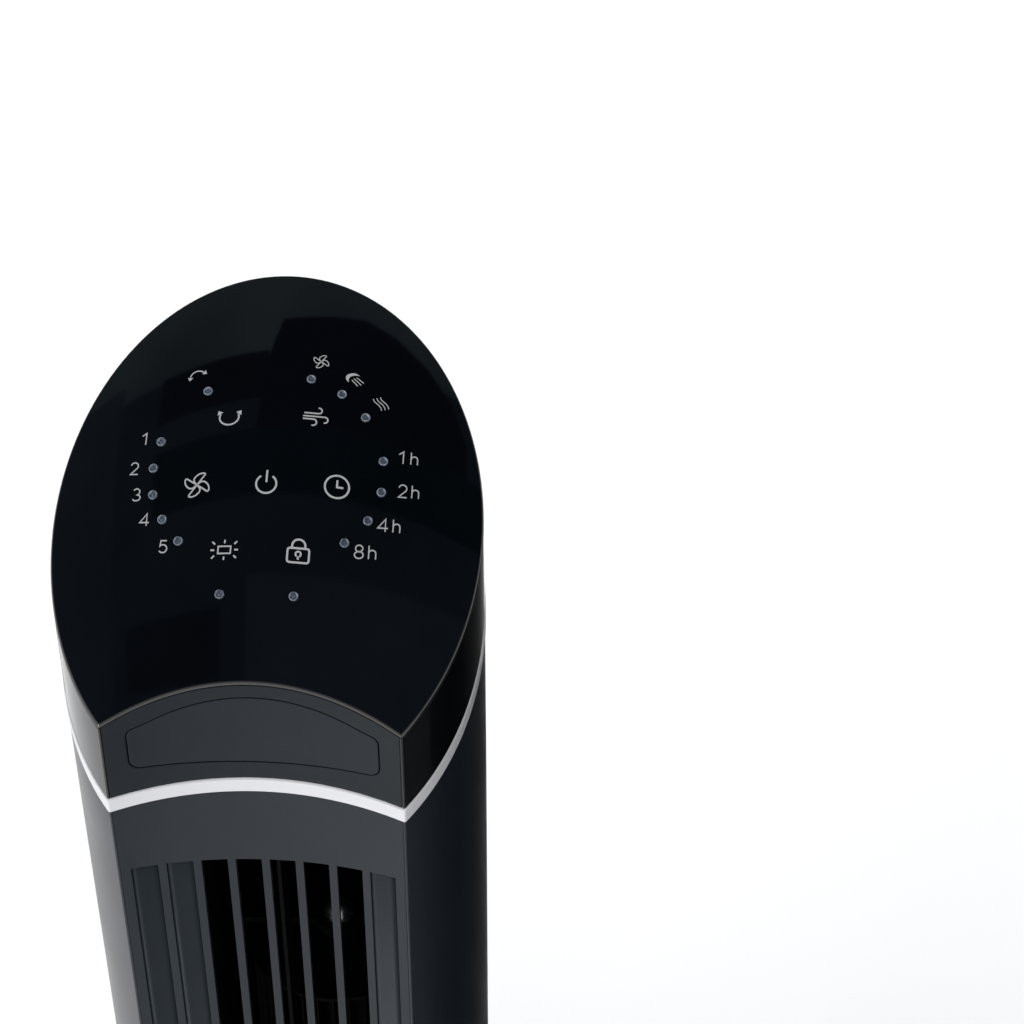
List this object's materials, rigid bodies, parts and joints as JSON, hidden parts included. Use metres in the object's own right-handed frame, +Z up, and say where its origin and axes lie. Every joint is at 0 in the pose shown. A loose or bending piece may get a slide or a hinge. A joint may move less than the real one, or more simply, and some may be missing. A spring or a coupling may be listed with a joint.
{
  "type": "tower fan",
  "caption": "Oval tower fan with a hollow-curved slotted front, a tilted glossy touch-control head over a pale trim band, an inner cross-flow wheel and a round swinging base.",
  "frame": {"origin": "on the floor under the middle of the round base", "axes": "+Z up, the slotted front faces -Y, +X to the right of someone facing the front"},
  "size_m": [0.2998, 0.2998, 0.9991],
  "materials": {
    "satin_black": "satin",
    "dark_grey": "matte",
    "cast_iron": "matte",
    "zinc": "satin",
    "rubber": "matte",
    "matte_grey": "matte",
    "steel": "satin",
    "light_trim": "satin",
    "gloss_black": "gloss",
    "window_grey": "satin",
    "lens": "satin",
    "board": "matte",
    "capacitor": "satin",
    "wheel_black": "satin"
  },
  "bodies": {
    "base": {"base_cover": "satin_black", "base_plate": "dark_grey", "base_weight": "cast_iron", "pivot_post": "zinc", "fixed_gear": "dark_grey", "cord_gland": "rubber", "inner_lead": "rubber", "foot_1": "rubber", "foot_2": "rubber", "foot_3": "rubber", "foot_4": "rubber", "foot_5": "rubber", "base_screw_1": "steel", "base_screw_2": "steel", "base_screw_3": "steel"},
    "tower": {"turntable": "dark_grey", "column_cup": "satin_black", "swing_motor": "zinc", "rear_housing": "satin_black", "rear_screw_1": "steel", "rear_screw_2": "steel", "rear_screw_3": "steel", "rear_screw_4": "steel", "grip_cup": "satin_black", "front_grille": "matte_grey", "intake_screen": "satin_black", "duct_floor": "satin_black", "duct_roof": "satin_black", "duct_tongue": "satin_black", "duct_scroll": "satin_black", "air_vane": "satin_black", "bearing_cap": "steel", "bearing_seat": "dark_grey", "fan_motor": "zinc", "motor_bracket": "dark_grey", "trim_band": "light_trim", "head_side": "gloss_black", "head_front": "matte_grey", "display_window": "window_grey", "top_panel": "gloss_black", "light_guide": "lens", "touch_board": "board", "display_board": "board", "control_board": "board", "capacitor": "capacitor"},
    "wheel": {"wheel": "wheel_black", "wheel_shaft": "steel", "wheel_hub": "zinc"},
    "swing_pinion": {"swing_pinion": "zinc"}
  },
  "joints": [
    {"name": "swing", "type": "hinge", "parent": "base", "child": "tower", "pos_m": [0, 0, 0.03], "axis": [0, 0, 1], "range_deg": [-40, 40]},
    {"name": "wheel_spin", "type": "hinge", "parent": "tower", "child": "wheel", "pos_m": [0.0204, -0.008, 0.43], "axis": [0, 0, 1], "continuous": true},
    {"name": "pinion_spin", "type": "hinge", "parent": "tower", "child": "swing_pinion", "pos_m": [-0.04035, 0, 0.02], "axis": [0, 0, 1], "range_deg": [-125, 125]}
  ],
  "couplings": [
    {"joint": "pinion_spin", "follows": "swing", "ratio": 3}
  ]
}
